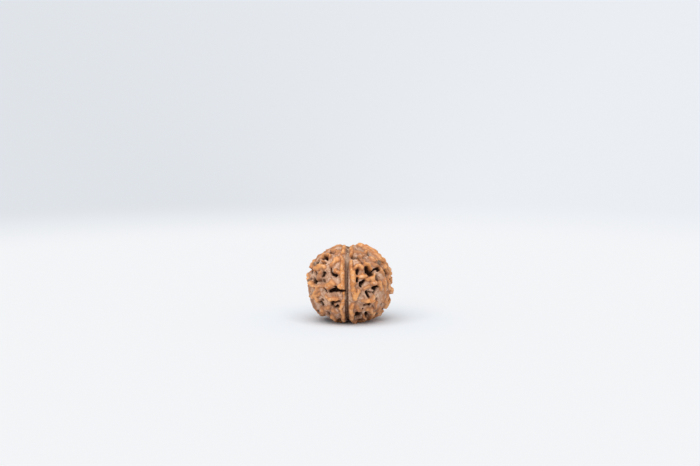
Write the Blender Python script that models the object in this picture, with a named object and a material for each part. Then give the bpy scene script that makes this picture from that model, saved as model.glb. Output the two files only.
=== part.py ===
"""A rudraksha bead: the woody stone of one fruit, with five faces and a thread hole down its axis.

The real thing grew as one piece, so it is one solid. Its body is a slightly flattened, slightly
lopsided ball. All that stands on it is relief, raised or sunk by one formula: thick rounded ridges
and knobs that run into each other, dark pits between them, and five grooves from pole to pole, each
with a broken lip on either side. The side at -Y and its two neighbours carry ridges placed by hand,
as (longitude, latitude) in degrees. The hidden sides are grown by a seeded rule of the same sizes.

Longitude 0 looks along -Y and grows toward +X. The thread hole runs along Z.
"""

import math
import random
from collections import namedtuple

import bmesh
import bpy
import numpy as np

MM = 0.001

# Body, in millimetres: the level of the valleys, before any ridge stands on it
ACROSS_RADIUS = 9.25
UPRIGHT_RADIUS = 8.45
LOPSIDED = 0.30
FULLNESS = 0.045
FULLER_BELOW = 0.035

# Thread hole and the flat spot that the bead rests on, in millimetres
HOLE_RADIUS = 0.9
HOLE_SIDES = 20
FOOT_LEVEL = -8.85

# How ridges and pits blend, in millimetres
RIDGE_FUSE = 0.75
PIT_FUSE = 0.35
RIDGE_DOME = 0.9
PIT_DOME = 0.70
SKIRT = 0.75
STEEP = 2.5
CALM_FROM = 52.0
CALM_OVER = 30.0
CALM_ABOVE = 0.65

# Slow waver that keeps ridges from looking drawn: shifts of the unit direction
WAVER = (
    (0.018, 9.0, (0.3, 1.9, 4.1)),
    (0.014, 23.0, (2.2, 5.0, 0.7)),
    (0.006, 49.0, (1.1, 3.3, 5.4)),
)

# Lumps along the ridges and over the valleys, in millimetres and waves per radian
LUMPS = ((0.12, 17.0, (0.9, 4.4, 2.0)), (0.09, 37.0, (5.1, 0.2, 3.6)))

# Grooves: longitudes in degrees, sizes in millimetres
GROOVE_LONGITUDES = (-2.0, 65.0, 140.0, 215.0, 286.0)
GROOVE_HALF_WIDTH = 0.50
GROOVE_DEPTH = 0.45
LIP_OFFSET = 1.25
POLE_DIMPLE_RADIUS = 1.6
POLE_DIMPLE_DEPTH = 0.5

# The pattern placed by hand is nodded forward by this many degrees about X, and spread from the
# middle of what is seen from the front, pits more than ridges because they lie nearer the axis
NOD = 4.5
SEEN_LATITUDE = 13.0
RIDGE_SPREAD = 1.02
PIT_SPREAD = 1.065

# Hidden sides: a seeded rule, in millimetres
SEED = 108
WILD_GAP = 1.75
WILD_REACH = 3.0
PIT_GAP = 1.7

# Mesh sizes
BALL_SUBDIVISIONS = 7
SOFTEN_ROUNDS = 10
KEEP_SHARE = 0.060

WOOD = (0.50, 0.21, 0.075, 1.0)
WOOD_ROUGHNESS = 0.5

# A ridge, knob or pit: its two ends, its half width and its height or depth
Bar = namedtuple("Bar", "start end width rise")


def ridge(start, end, width, rise=0.9):
    return Bar(start, end, width, rise)


def knob(at, width, rise=0.95):
    return Bar(at, at, width, rise)


FRONT_LIPS = (
    # Left of the front groove, top to bottom
    ridge((-40, 82), (-15, 62), 0.60, 0.95),
    ridge((-14, 55), (-11, 42), 0.60),
    ridge((-11, 42), (-9.5, 26), 0.65),
    ridge((-9.5, 26), (-7.5, 13), 0.60),
    knob((-9.5, 9.5), 1.05, 1.30),
    ridge((-9.0, 8), (-6.0, 5.5), 0.45),
    ridge((-6.5, -1), (-6.0, -10), 0.55, 0.80),
    ridge((-7.0, -13), (-9.0, -24), 0.65, 1.00),
    ridge((-8.0, -28), (-8.5, -42), 0.60),
    ridge((-8.5, -42), (-10.0, -57), 0.65, 0.85),
    # Right of the front groove, top to bottom
    ridge((36, 82), (12, 61), 0.50, 0.95),
    knob((10, 58), 0.70, 0.95),
    ridge((5.5, 48), (5.0, 33), 0.50),
    ridge((6.5, 29), (7.5, 14), 0.80, 1.00),
    ridge((7.0, 13), (6.0, 4), 0.60),
    ridge((6.5, 3), (8.0, -9.5), 0.70, 0.95),
    ridge((13.5, 3), (8.5, -9.0), 0.55, 0.95),
    ridge((6.5, -18), (6.5, -36), 0.65, 1.00),
    ridge((6.5, -36), (8.5, -57), 0.65, 0.90),
)

LEFT_RIDGES = (
    knob((-20.3, 31), 0.60, 1.05),
    ridge((-20, 31), (-12, 29), 0.48),
    ridge((-22, 51), (-31, 36), 0.65, 0.85),
    knob((-26, 47), 0.65, 0.90),
    ridge((-78, 45), (-69, 53), 0.62, 0.80),
    ridge((-69, 53), (-55, 55.5), 0.58, 0.85),
    ridge((-55, 55.5), (-43, 51), 0.58, 0.95),
    ridge((-58, 42), (-48, 40), 0.50, 0.75),
    ridge((-66, 28), (-56, 32), 0.85, 1.00),
    ridge((-56, 32), (-45, 33), 0.80),
    ridge((-50.5, 24), (-49, 15), 0.60, 0.50),
    ridge((-69, 4), (-58, 2), 0.65, 1.00),
    ridge((-58, 2), (-47, 4), 0.50, 0.75),
    ridge((-47, 4), (-37, 4), 0.50, 0.60),
    ridge((-35, 5), (-27, 10), 0.70, 0.75),
    ridge((-28, 8), (-22, 12), 0.95, 1.10),
    ridge((-49, -1), (-56, -9), 0.80, 0.80),
    ridge((-56, -9), (-51, -20), 0.80, 0.80),
    ridge((-53, -12), (-46, -8), 0.60, 0.75),
    ridge((-56, -10), (-64, -15), 0.60, 0.80),
    ridge((-33, -8), (-25, -11.5), 0.65, 0.70),
    ridge((-24.5, -11.5), (-17, -9), 0.72, 1.00),
    knob((-18, -19.5), 0.42, 0.45),
    ridge((-30, -26), (-36, -29), 0.70, 0.70),
    ridge((-28, -43), (-27, -54), 0.70),
    ridge((-21, -30), (-18, -33), 0.60, 0.65),
    ridge((-45, -34), (-52, -38), 0.80, 0.75),
    knob((-63, -47), 0.90, 0.70),
    ridge((-37, -48), (-36, -57), 0.65, 0.70),
    ridge((-40, 69), (-33, 60), 0.80, 0.55),
    ridge((-70, 63), (-60, 68), 0.70, 0.60),
    knob((-84, 25), 0.90, 1.05),
    ridge((-79, 10), (-69, 4), 0.75, 1.10),
    knob((-80, 34), 0.75, 0.80),
    ridge((-84, 0), (-82, -12), 0.75, 0.50),
    ridge((-72, -22), (-68, -34), 0.75, 0.75),
)

LEFT_PITS = (
    ridge((-80, 58), (-62, 59), 0.38, 0.60),
    ridge((-62, 59), (-42, 60), 0.38, 0.55),
    ridge((-66, 46), (-60, 49), 0.40, 0.60),
    ridge((-60, 49), (-46, 48), 0.58, 0.90),
    ridge((-75, 40), (-71, 37), 0.55, 0.85),
    ridge((-49, 38), (-44, 39.5), 0.38, 0.60),
    ridge((-28.5, 31), (-27.5, 28.5), 0.28, 0.95),
    ridge((-27.5, 28.5), (-24, 25.5), 0.32, 1.10),
    ridge((-24, 25.5), (-18, 24), 0.38, 1.15),
    ridge((-18, 25), (-16.5, 26), 0.32, 0.90),
    ridge((-43.5, 24.5), (-42.5, 18), 0.32, 1.10),
    ridge((-39.5, 24), (-38.5, 18.5), 0.30, 1.00),
    ridge((-42.5, 25.5), (-40, 25), 0.28, 0.95),
    knob((-41, 21), 0.50, 0.50),
    ridge((-61, 23), (-58, 20), 0.45, 0.85),
    ridge((-60, 10.5), (-54, 10), 0.78, 1.60),
    ridge((-47, 12), (-36, 13), 0.55, 0.50),
    knob((-76, 21), 0.70, 1.05),
    ridge((-76, 19), (-94, 19), 0.55, 1.20),
    ridge((-25.5, 0.5), (-19.5, 2.5), 0.50, 1.30),
    ridge((-19.5, 2.5), (-15, 5.5), 0.55, 1.40),
    ridge((-15.5, 5), (-11, 3.0), 0.42, 1.10),
    ridge((-11, 3.0), (-5, 2.5), 0.36, 0.70),
    knob((-16.5, 8), 0.45, 1.00),
    ridge((-32.5, 3), (-32, -0.5), 0.48, 1.25),
    ridge((-45.5, -21), (-41.5, -25), 0.60, 0.75),
    knob((-41, -17), 0.50, 0.55),
    ridge((-24, -18), (-19, -15), 0.45, 1.10),
    ridge((-19, -15), (-13.5, -12.5), 0.40, 1.10),
    ridge((-22.5, -20), (-18, -23), 0.50, 1.15),
    ridge((-16, -23.5), (-13, -20), 0.42, 1.00),
    ridge((-34, -37), (-34, -43), 0.55, 0.80),
    knob((-13.5, -38), 0.50, 0.45),
    ridge((-23, -51), (-13, -58), 0.80, 1.35),
    ridge((-53, -46), (-51, -50), 0.50, 0.90),
)

RIGHT_RIDGES = (
    ridge((57, 59), (67, 59), 0.65, 0.85),
    ridge((54, 48), (55, 44.5), 0.70, 1.00),
    ridge((59, 48.5), (70, 46.5), 0.50, 0.65),
    ridge((67, 43), (76, 34.5), 0.62, 1.00),
    ridge((82, 45), (83, 39), 0.70, 0.75),
    knob((84, 27), 0.75, 0.75),
    ridge((24, 49.5), (22.5, 43), 0.52, 0.60),
    ridge((34.5, 48), (32, 42), 0.50, 0.60),
    ridge((11.5, 35), (14.5, 38), 0.52, 0.85),
    ridge((14.5, 38), (19.5, 38), 0.50, 0.75),
    ridge((19.5, 38), (22, 34.8), 0.58, 0.90),
    ridge((29.5, 38.5), (34, 36), 0.75, 1.15),
    ridge((34, 36), (37, 32.5), 0.55, 0.85),
    ridge((14, 22), (20, 23.5), 0.55, 0.95),
    ridge((20, 23.5), (26, 22), 0.60, 1.00),
    ridge((22, 23), (21.5, 27.5), 0.40, 0.80),
    ridge((39, 24), (36, 18), 0.55, 1.00),
    ridge((36, 18), (28, 17), 0.60, 0.85),
    ridge((36, 18), (41, 11), 0.60, 0.85),
    ridge((41, 11), (51, 8), 0.70, 0.90),
    ridge((37, 12), (43.5, 9.5), 0.60, 0.85),
    ridge((49, 8), (49.5, -1), 0.70, 0.85),
    ridge((50, 38), (58, 30), 0.85, 0.55),
    ridge((60, 27), (63, 17), 0.85, 0.60),
    ridge((63, 16), (59, 6), 0.60, 0.85),
    ridge((60, 4), (60, -9), 0.60, 0.70),
    ridge((60, -12), (58, -20), 0.70, 0.60),
    ridge((19, -11.5), (28, -15), 0.50, 0.75),
    ridge((28, -15), (35, -15.5), 0.75, 1.00),
    ridge((35, -14), (36.5, -8.5), 0.50, 0.75),
    ridge((22, 5), (31, 7), 0.60, 0.65),
    ridge((15, -22), (17, -28), 0.65, 0.65),
    ridge((44, -21), (46.5, -28), 0.55, 0.70),
    ridge((29, -41), (38, -54), 0.45, 0.80),
    ridge((30, -29), (36, -31), 0.60, 0.70),
    ridge((38, -30), (41, -35), 0.65, 1.00),
    ridge((47, -38), (58, -55), 0.60, 0.90),
    ridge((58, -32), (64, -42), 0.65, 0.80),
    ridge((77, -46), (80, -36), 1.10, 1.10),
    ridge((84, -22), (82, -31), 1.20, 1.25),
    ridge((85, -10.5), (85, -14), 1.00, 1.35),
    ridge((70, 12), (71, -4), 0.65, 0.90),
    ridge((74, 30), (75, 20), 0.60, 0.75),
    ridge((70, -10), (70, -22), 0.60, 0.85),
    ridge((28, 66), (44, 63), 0.85, 0.50),
    ridge((30, 53), (40, 56), 0.60, 0.60),
)

RIGHT_PITS = (
    ridge((60, 53.5), (64, 51), 0.50, 0.95),
    ridge((56, 50.5), (62, 49.5), 0.34, 0.60),
    ridge((66, 40), (74, 33), 0.32, 0.55),
    knob((77, 30), 0.60, 0.95),
    ridge((13, 53), (24, 50), 0.65, 0.55),
    ridge((24, 48), (24, 41), 0.42, 0.50),
    knob((35, 47), 0.45, 0.50),
    ridge((14.5, 32), (13, 27.5), 0.46, 0.80),
    ridge((27.5, 33), (30.5, 28), 0.50, 1.05),
    ridge((30.5, 28), (33.5, 25), 0.68, 1.25),
    ridge((36, 27), (40, 30), 0.36, 0.90),
    ridge((40, 30), (49, 29.5), 0.32, 0.85),
    knob((52, 27.8), 0.66, 1.55),
    ridge((12.5, 20.5), (12.5, 17), 0.36, 1.00),
    ridge((18, 15), (22.5, 15.5), 0.45, 1.30),
    ridge((17.5, 14.5), (17.5, 10.5), 0.36, 1.10),
    knob((21, 13), 0.48, 0.80),
    ridge((45.5, 18), (45, 13.5), 0.70, 0.65),
    ridge((69, 25), (69, 17), 0.50, 0.70),
    ridge((74, 7), (90, 7.5), 0.50, 1.00),
    ridge((37, 4.5), (42, 3.5), 0.55, 1.40),
    ridge((41.5, 3), (37.5, -3.5), 0.45, 1.10),
    ridge((34, -1.5), (28, -0.5), 0.30, 0.60),
    ridge((25.5, -0.5), (28.5, -8.5), 0.45, 1.20),
    ridge((28, -19.5), (33, -21.5), 0.45, 1.00),
    knob((25, -20.5), 0.42, 0.80),
    knob((21.3, -26), 0.30, 0.50),
    knob((42, -16), 0.45, 0.70),
    ridge((16.5, -33.5), (16.5, -41), 0.78, 2.00),
    ridge((31.5, -35.5), (35.5, -43), 0.50, 1.45),
    ridge((78, -18), (94, -17), 0.50, 1.20),
    ridge((72, -34.5), (86, -34), 0.35, 0.55),
)

# Along the outline, placed where the bead itself lies: neither spread nor nodded
OUTLINE_RIDGES = (
    ridge((91, 11), (93, 27), 1.25, 0.90),
    knob((92, 19.8), 0.85, 1.20),
    knob((91, 12.0), 0.75, 1.05),
    ridge((93, 31), (96, 45), 1.25, 0.85),
    knob((94.5, 35.4), 0.85, 1.05),
    knob((96, 43.5), 0.80, 1.00),
    ridge((98, 50), (106, 63), 1.00, 1.25),
    ridge((106, 63), (128, 73), 1.00, 1.15),
    knob((-125, 75), 0.95, 0.80),
    ridge((-98, 40), (-103, 55), 1.20, 0.45),
    knob((-92, 10.5), 0.75, 1.10),
    ridge((-93, -6), (-88, -30), 1.20, 0.40),
    ridge((-84, -33), (-80, -43), 1.00, 0.55),
)

OUTLINE_PITS = (
    ridge((180, 84), (180, 70), 0.80, 0.55),
    ridge((-70, -54), (-92, -52), 0.90, 1.10),
    ridge((-91, -62), (-103, -71), 0.80, 1.15),
    ridge((-45, -56), (-59, -62), 0.80, 1.00),
)

# Limits, in degrees, of the part of the surface that carries the ridges placed by hand
HAND_WEST, HAND_EAST, HAND_SOUTH, HAND_NORTH = -92.0, 76.0, -62.0, 72.0


def direction(longitude, latitude):
    """Unit vector toward a place on the ball."""
    east, up = math.radians(longitude), math.radians(latitude)
    return np.array(
        (math.cos(up) * math.sin(east), -math.cos(up) * math.cos(east), math.sin(up))
    )


def settled(place, spread):
    """A place of the pattern put by hand, spread and nodded into the bead's own longitude and latitude."""
    longitude, latitude = place
    latitude = SEEN_LATITUDE + (latitude - SEEN_LATITUDE) * spread
    way, nod = direction(longitude * spread, latitude), math.radians(NOD)
    forward = way[1] * math.cos(nod) - way[2] * math.sin(nod)
    up = way[2] * math.cos(nod) + way[1] * math.sin(nod)
    return place_of(np.array((way[0], forward, up)))


def calm(latitude):
    """Share of their height that ridges keep at a latitude: they sink toward the upper pole."""
    near_pole = min(max((latitude - CALM_FROM) / CALM_OVER, 0.0), 1.0)
    return 1.0 - CALM_ABOVE * near_pole


def place_of(way):
    """Longitude and latitude, in degrees, of a unit vector."""
    return math.degrees(math.atan2(way[0], -way[1])), math.degrees(math.asin(way[2]))


def distance_to(ways, bar):
    """Distance in millimetres from each unit vector to a bar's middle line, on the ball."""
    start, end = direction(*bar.start), direction(*bar.end)
    along = end - start
    length_squared = max(float(along @ along), 1e-12)
    share = np.clip((ways - start) @ along / length_squared, 0.0, 1.0)
    nearest = start + share[:, None] * along
    nearest /= np.linalg.norm(nearest, axis=1)[:, None]
    return np.linalg.norm(ways - nearest, axis=1) * ACROSS_RADIUS


def domed(distance, bar, dome, skirt):
    """Height of a rounded bar: its rise along the middle, 0 at its edge, and falling steadily outside."""
    inside = np.maximum(1.0 - (distance / bar.width) ** 2, 0.0)
    return np.where(inside > 0.0, bar.rise * inside**dome, skirt * (bar.width - distance))


def smooth_max(a, b, reach):
    overlap = np.maximum(reach - np.abs(a - b), 0.0) / reach
    return np.maximum(a, b) + overlap**3 * reach / 6.0


def waver(ways):
    """The same directions, shifted a little by slow sine waves."""
    shifted = ways.copy()
    for turn, (size, rate, phases) in enumerate(WAVER, start=1):
        shifted += size * np.sin(rate * np.roll(ways, turn, axis=1) + np.array(phases))
    return shifted / np.linalg.norm(shifted, axis=1)[:, None]


def lumps(ways):
    """Uneven swelling of the whole surface, in millimetres."""
    total = np.zeros(len(ways))
    for turn, (size, rate, phases) in enumerate(LUMPS, start=1):
        waves = np.sin(rate * ways + np.array(phases)) + np.cos(rate * np.roll(ways, turn, axis=1))
        total += size * waves.prod(axis=1) / 2.0
    return total


def groove_depths(ways):
    """Depth of the five grooves, which run from pole to pole in planes through the axis."""
    depth = np.full(len(ways), -ACROSS_RADIUS)
    for longitude in GROOVE_LONGITUDES:
        outward, sideways = direction(longitude, 0.0), direction(longitude + 90.0, 0.0)
        offset = np.abs(ways @ sideways) * ACROSS_RADIUS
        behind = np.maximum(-(ways @ outward), 0.0) * ACROSS_RADIUS
        trench = Bar(None, None, GROOVE_HALF_WIDTH, GROOVE_DEPTH)
        depth = smooth_max(depth, domed(np.hypot(offset, behind), trench, PIT_DOME, STEEP), PIT_FUSE)
    return depth


def dimple_depths(ways):
    """Depth of the shallow bowl round each end of the thread hole."""
    from_axis = np.hypot(ways[:, 0], ways[:, 1]) * ACROSS_RADIUS
    return POLE_DIMPLE_DEPTH * (1.0 - (from_axis / POLE_DIMPLE_RADIUS) ** 2)


def offset_from_groove(way):
    """Distance in millimetres from a unit vector to the nearest groove's plane."""
    found = []
    for longitude in GROOVE_LONGITUDES:
        if way @ direction(longitude, 0.0) > 0.0:
            found.append(abs(way @ direction(longitude + 90.0, 0.0)) * ACROSS_RADIUS)
    return min(found, default=ACROSS_RADIUS)


def in_hand_region(longitude, latitude):
    turned = (longitude - HAND_WEST) % 360.0
    return turned < HAND_EAST - HAND_WEST and HAND_SOUTH < latitude < HAND_NORTH


def hidden_lips(rng):
    """Broken lips along both sides of each hidden groove, and of every groove near the poles."""
    bars = []
    for groove in GROOVE_LONGITUDES:
        for side in (-1, 1):
            latitude = -76.0
            while latitude < 72.0:
                top = min(latitude + rng.uniform(11.0, 24.0), 76.0)
                ends = []
                for at in (latitude, top):
                    offset = LIP_OFFSET * rng.uniform(0.92, 1.15)
                    east = math.degrees(math.asin(min(offset / ACROSS_RADIUS / math.cos(math.radians(at)), 0.6)))
                    ends.append((groove + side * east, at))
                middle = ((ends[0][0] + ends[1][0]) / 2.0, (latitude + top) / 2.0)
                rise = rng.uniform(0.8, 1.0) * calm(middle[1])
                if not in_hand_region(*middle):
                    bars.append(Bar(*ends, rng.uniform(0.55, 0.75), rise))
                latitude = top + rng.choice((3.0, 5.0, 9.0))
    return bars


def wild_ridges(rng, taken):
    """Knobs scattered no closer than a set gap on the hidden sides, each joined to its nearest free neighbour."""
    centres = []
    for _ in range(9000):
        way = direction(rng.uniform(-180.0, 180.0), math.degrees(math.asin(rng.uniform(-0.97, 0.97))))
        clear = all(np.linalg.norm(way - other) * ACROSS_RADIUS > WILD_GAP for other in centres)
        if not clear or in_hand_region(*place_of(way)) or offset_from_groove(way) < LIP_OFFSET + 0.75:
            continue
        if min(distance_to(way[None, :], bar)[0] for bar in taken) < 1.2:
            continue
        centres.append(way)
    bars, joined = [], set()
    for i, way in enumerate(centres):
        places = sorted(range(len(centres)), key=lambda j: np.linalg.norm(way - centres[j]))
        near = [j for j in places[1:4] if np.linalg.norm(way - centres[j]) * ACROSS_RADIUS < WILD_REACH]
        width, rise = rng.uniform(0.5, 0.8), rng.uniform(0.75, 1.05) * calm(place_of(way)[1])
        free = [j for j in near if (j, i) not in joined]
        if free and rng.random() < 0.72:
            joined.add((i, free[0]))
            bars.append(Bar(place_of(way), place_of(centres[free[0]]), width, rise))
        else:
            bars.append(Bar(place_of(way), place_of(way), width + 0.1, rise))
    return bars


def wild_pits(rng, ridges):
    """Pits in the widest gaps that the ridges of the hidden sides leave."""
    spots = []
    for _ in range(2600):
        way = direction(rng.uniform(-180.0, 180.0), math.degrees(math.asin(rng.uniform(-0.96, 0.96))))
        if in_hand_region(*place_of(way)) or offset_from_groove(way) < LIP_OFFSET + 0.3:
            continue
        room = min(distance_to(way[None, :], bar)[0] - bar.width for bar in ridges)
        if room > 0.05:
            spots.append((room, way))
    spots.sort(key=lambda spot: -spot[0])
    pits = []
    for room, way in spots:
        longitude, latitude = place_of(way)
        if any(distance_to(way[None, :], pit)[0] < PIT_GAP for pit in pits):
            continue
        stretch = rng.choice((0.0, 0.0, 4.0, 7.0))
        turn = rng.uniform(0.0, math.tau)
        end = (longitude + stretch * math.cos(turn), latitude + stretch * math.sin(turn))
        pits.append(Bar((longitude, latitude), end, min(0.42 + 0.6 * room, 0.75), rng.uniform(0.8, 1.4)))
    return pits


def settled_bars(bars, spread):
    return [bar._replace(start=settled(bar.start, spread), end=settled(bar.end, spread)) for bar in bars]


def all_features():
    """(ridges, pits) over the whole bead, by hand in front and by the seeded rule behind."""
    rng = random.Random(SEED)
    ridges = settled_bars(FRONT_LIPS + LEFT_RIDGES + RIGHT_RIDGES, RIDGE_SPREAD)
    ridges += list(OUTLINE_RIDGES) + hidden_lips(rng)
    ridges += wild_ridges(rng, ridges)
    pits = settled_bars(LEFT_PITS + RIGHT_PITS, PIT_SPREAD) + list(OUTLINE_PITS)
    pits += wild_pits(rng, ridges)
    return ridges, pits


def relief(ways):
    """(height of the ridges, depth of the pits), in millimetres, at each unit vector."""
    ridges, pits = all_features()
    shifted = waver(ways)
    height = np.zeros(len(ways))
    for bar in ridges:
        height = smooth_max(height, domed(distance_to(shifted, bar), bar, RIDGE_DOME, SKIRT), RIDGE_FUSE)
    height += lumps(shifted)
    depth = np.zeros(len(ways))
    for bar in pits:
        depth = smooth_max(depth, domed(distance_to(shifted, bar), bar, PIT_DOME, STEEP), PIT_FUSE)
    depth = smooth_max(depth, groove_depths(ways), PIT_FUSE)
    depth = smooth_max(depth, dimple_depths(ways), PIT_FUSE)
    return height, depth


def surface(ways, height):
    """Points in millimetres: the body at each unit vector, raised by a height straight from its middle."""
    up = ways[:, 2]
    full = 1.0 + (FULLNESS - FULLER_BELOW * up) * 4.0 * up * up * (1.0 - up * up)
    across = (ACROSS_RADIUS + LOPSIDED * ways[:, 0]) * full
    body = np.column_stack((across * ways[:, 0], across * ways[:, 1], UPRIGHT_RADIUS * full * up))
    return body * (1.0 + height / np.linalg.norm(body, axis=1))[:, None]


def collection_named(name):
    made = bpy.data.collections.new(name)
    bpy.context.scene.collection.children.link(made)
    return made


def wood_material():
    material = bpy.data.materials.new("seed_wood")
    material.use_nodes = True
    shader = material.node_tree.nodes["Principled BSDF"]
    shader.inputs["Base Color"].default_value = WOOD
    shader.inputs["Roughness"].default_value = WOOD_ROUGHNESS
    shader.inputs["Metallic"].default_value = 0.0
    return material


def bead_object(parts):
    """The bead: a fine ball pushed out by the relief, thinned to fewer faces."""
    mesh = bpy.data.meshes.new("rudraksha_bead")
    ball = bmesh.new()
    bmesh.ops.create_icosphere(ball, subdivisions=BALL_SUBDIVISIONS, radius=1.0)
    ball.to_mesh(mesh)
    ball.free()
    ways = np.empty(len(mesh.vertices) * 3)
    mesh.vertices.foreach_get("co", ways)
    ways = ways.reshape(-1, 3)
    ways /= np.linalg.norm(ways, axis=1)[:, None]
    height, depth = relief(ways)
    points = surface(ways, height - depth)
    middle = (points.max(axis=0) + points.min(axis=0)) / 2.0
    shift = np.array((-middle[0], -middle[1], -FOOT_LEVEL))
    points = (points + shift) * MM
    mesh.vertices.foreach_set("co", points.reshape(-1))
    mesh.materials.append(wood_material())
    mesh.shade_smooth()
    mesh.update()
    bead = bpy.data.objects.new("rudraksha_bead", mesh)
    parts.objects.link(bead)
    soften = bead.modifiers.new("soften", "SMOOTH")
    soften.iterations = SOFTEN_ROUNDS
    thin = bead.modifiers.new("fewer faces", "DECIMATE")
    thin.ratio = KEEP_SHARE
    thin.use_collapse_triangulate = True
    return bead, shift * MM


def cutter_object(name, mesh_maker, cutters):
    mesh = bpy.data.meshes.new(name)
    shape = bmesh.new()
    mesh_maker(shape)
    shape.to_mesh(mesh)
    shape.free()
    cutter = bpy.data.objects.new(name, mesh)
    cutter.hide_render = True
    cutter.display_type = "WIRE"
    cutters.objects.link(cutter)
    return cutter


def hole_shape(shape):
    """A rod along Z, longer than the bead is tall."""
    radius = HOLE_RADIUS * MM
    bmesh.ops.create_cone(
        shape,
        cap_ends=True,
        segments=HOLE_SIDES,
        radius1=radius,
        radius2=radius,
        depth=4.0 * ACROSS_RADIUS * MM,
    )


def ground_shape(shape):
    """A block whose top face is the level that the bead rests on."""
    side = 4.0 * ACROSS_RADIUS * MM
    bmesh.ops.create_cube(shape, size=side)
    bmesh.ops.translate(shape, verts=shape.verts, vec=(0.0, 0.0, -side / 2.0))


def cut(target, cutter):
    modifier = target.modifiers.new("cut by " + cutter.name, "BOOLEAN")
    modifier.operation = "DIFFERENCE"
    modifier.object = cutter


def main():
    for old in list(bpy.data.objects):
        bpy.data.objects.remove(old)
    parts = collection_named("rudraksha bead")
    cutters = collection_named("cutters")
    bead, shift = bead_object(parts)
    hole = cutter_object("thread_hole", hole_shape, cutters)
    hole.location = (shift[0], shift[1], 0.0)
    ground = cutter_object("ground", ground_shape, cutters)
    cut(bead, hole)
    cut(bead, ground)


main()
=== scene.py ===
# %% [markdown]
# # A rudraksha bead
# A rudraksha bead is the woody stone of a berry. It grew as one piece: a ball a little wider than it
# is high, with five grooves from pole to pole and a warty net of ridges, knobs and pits between them.
# People only bored the thread hole down its axis and rubbed it with oil.
#
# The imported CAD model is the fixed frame. It gives the place and the size, and this lesson grows a
# finer bead in the same place.

# %% Load the frame
import math
import random
from collections import namedtuple

import bpy
import numpy as np
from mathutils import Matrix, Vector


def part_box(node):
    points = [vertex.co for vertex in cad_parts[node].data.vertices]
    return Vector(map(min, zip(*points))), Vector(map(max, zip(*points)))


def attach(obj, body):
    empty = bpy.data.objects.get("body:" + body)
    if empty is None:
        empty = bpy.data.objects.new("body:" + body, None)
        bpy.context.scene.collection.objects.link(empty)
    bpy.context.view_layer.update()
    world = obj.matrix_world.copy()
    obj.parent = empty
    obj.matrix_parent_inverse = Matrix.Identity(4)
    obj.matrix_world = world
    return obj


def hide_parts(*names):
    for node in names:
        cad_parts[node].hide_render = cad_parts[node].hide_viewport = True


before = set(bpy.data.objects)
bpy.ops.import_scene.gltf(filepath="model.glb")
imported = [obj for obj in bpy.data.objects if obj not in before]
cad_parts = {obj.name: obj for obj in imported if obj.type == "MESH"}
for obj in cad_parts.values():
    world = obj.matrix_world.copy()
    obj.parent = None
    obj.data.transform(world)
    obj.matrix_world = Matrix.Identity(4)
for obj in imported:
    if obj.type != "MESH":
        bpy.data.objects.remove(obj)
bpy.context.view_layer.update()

# %% [markdown]
# ## The camera
# The photograph looks a little down on the bead through a long lens. The camera looks down a little
# less than its own elevation, which puts the bead just below the middle of the picture.

# %% Camera
CAMERA_DISTANCE = 0.452
CAMERA_ELEVATION = 8.53
CAMERA_PITCH = 7.065
CAMERA_LENS = 100.0
CAMERA_SENSOR = 36.0
CAMERA_CLIP = (0.01, 100.0)
BEAD_MIDDLE = (0.0, 0.0001, 0.00887)

elevation = math.radians(CAMERA_ELEVATION)
camera = bpy.data.objects.new("camera", bpy.data.cameras.new("camera"))
camera.data.lens = CAMERA_LENS
camera.data.sensor_width = CAMERA_SENSOR
camera.data.clip_start, camera.data.clip_end = CAMERA_CLIP
camera.location = (
    BEAD_MIDDLE[0],
    BEAD_MIDDLE[1] - CAMERA_DISTANCE * math.cos(elevation),
    BEAD_MIDDLE[2] + CAMERA_DISTANCE * math.sin(elevation),
)
camera.rotation_euler = (math.radians(90.0 - CAMERA_PITCH), 0.0, 0.0)
bpy.context.scene.collection.objects.link(camera)
bpy.context.scene.camera = camera
print("camera stands", CAMERA_DISTANCE, "m from the bead")

# %% [markdown]
# ## The net of ridges, as a list
# Every ridge, knob and pit is one short bar: two ends on the ball as (longitude, latitude) in
# degrees, a half width, and a height or depth in millimetres. A knob is a bar with both ends in one
# place. Sculpting could make the same bead, but a list can be read, corrected and run again, and the
# CAD model uses the same list, so the two stay alike.
#
# The side that the photograph shows is listed one by one. Longitude 0 is the front groove.

# %% Bars
Bar = namedtuple("Bar", "start end width rise")


def ridge(start, end, width, rise=0.9):
    return Bar(start, end, width, rise)


def knob(at, width, rise=0.95):
    return Bar(at, at, width, rise)

# %% Lips of the front groove
FRONT_LIPS = (
    # Left of the front groove, top to bottom
    ridge((-40, 82), (-15, 62), 0.60, 0.95),
    ridge((-14, 55), (-11, 42), 0.60),
    ridge((-11, 42), (-9.5, 26), 0.65),
    ridge((-9.5, 26), (-7.5, 13), 0.60),
    knob((-9.5, 9.5), 1.05, 1.30),
    ridge((-9.0, 8), (-6.0, 5.5), 0.45),
    ridge((-6.5, -1), (-6.0, -10), 0.55, 0.80),
    ridge((-7.0, -13), (-9.0, -24), 0.65, 1.00),
    ridge((-8.0, -28), (-8.5, -42), 0.60),
    ridge((-8.5, -42), (-10.0, -57), 0.65, 0.85),
    # Right of the front groove, top to bottom
    ridge((36, 82), (12, 61), 0.50, 0.95),
    knob((10, 58), 0.70, 0.95),
    ridge((5.5, 48), (5.0, 33), 0.50),
    ridge((6.5, 29), (7.5, 14), 0.80, 1.00),
    ridge((7.0, 13), (6.0, 4), 0.60),
    ridge((6.5, 3), (8.0, -9.5), 0.70, 0.95),
    ridge((13.5, 3), (8.5, -9.0), 0.55, 0.95),
    ridge((6.5, -18), (6.5, -36), 0.65, 1.00),
    ridge((6.5, -36), (8.5, -57), 0.65, 0.90),
)

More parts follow.
